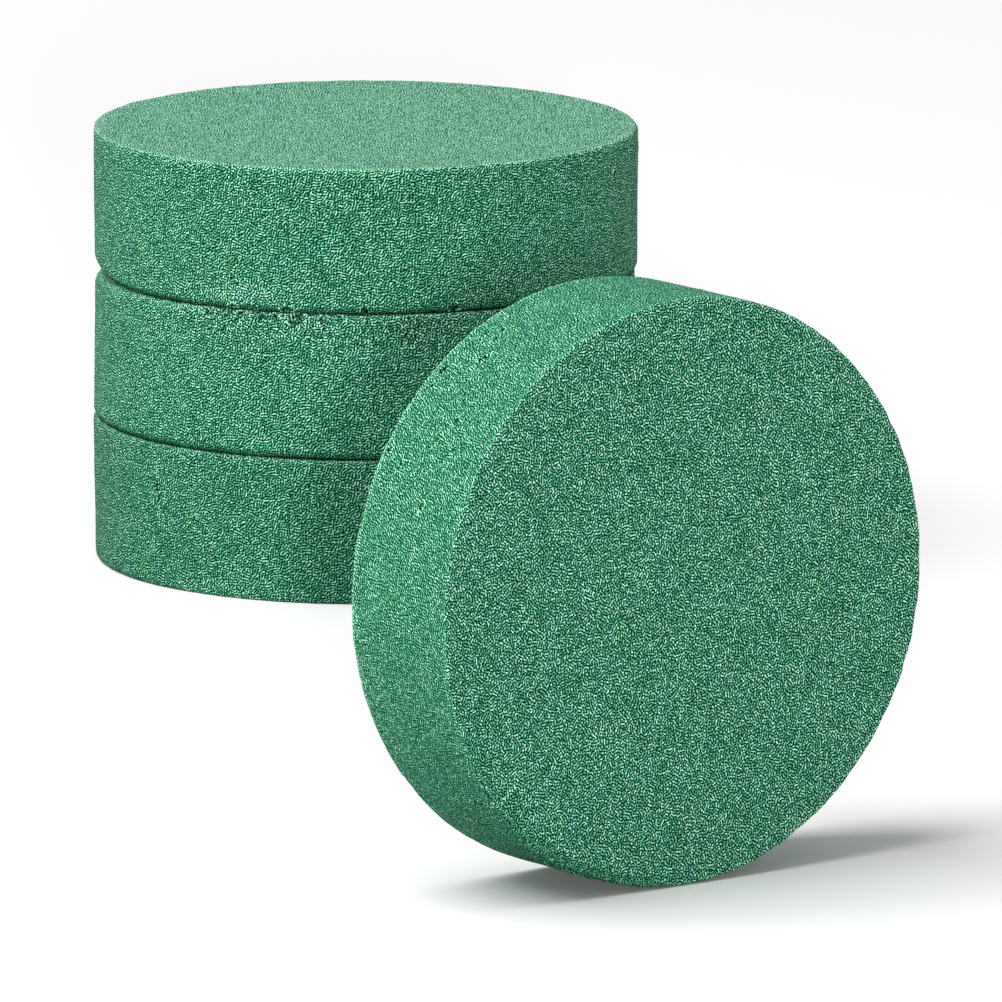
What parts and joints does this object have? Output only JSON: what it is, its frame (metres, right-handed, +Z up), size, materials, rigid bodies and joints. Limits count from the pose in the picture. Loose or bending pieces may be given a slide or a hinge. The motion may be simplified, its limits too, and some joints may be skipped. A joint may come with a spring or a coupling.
{
  "type": "floral foam brick",
  "caption": "Round floral foam blocks: a flat stack, and one more standing on its rim in front. Each block lifts off or tips over by itself.",
  "frame": {"origin": "centre of the stack's base, on the surface that the set stands on", "axes": "+Z up the stack's axis; -Y forwards from the stack towards the standing block; +X to the side that the standing block's front face turns to"},
  "size_m": [0.2153, 0.5587, 0.15],
  "materials": {
    "bottom_foam": "matte",
    "middle_foam": "matte",
    "top_foam": "matte",
    "standing_foam": "matte"
  },
  "bodies": {
    "bottom_block": {"bottom_round": "bottom_foam"},
    "middle_block": {"middle_round": "middle_foam"},
    "top_block": {"top_round": "top_foam"},
    "standing_block": {"standing_round": "standing_foam"}
  },
  "joints": [
    {"name": "middle_lift", "type": "slide", "parent": "bottom_block", "child": "middle_block", "axis": [0, 0, 1], "range_m": [0, 0.12]},
    {"name": "top_lift", "type": "slide", "parent": "middle_block", "child": "top_block", "axis": [0, 0, 1], "range_m": [0, 0.12]},
    {"name": "standing_tip", "type": "hinge", "parent": "bottom_block", "child": "standing_block", "pos_m": [0.08, -0.44, 0], "axis": [0.809, 0.5878, 0], "range_deg": [0, 90]}
  ]
}
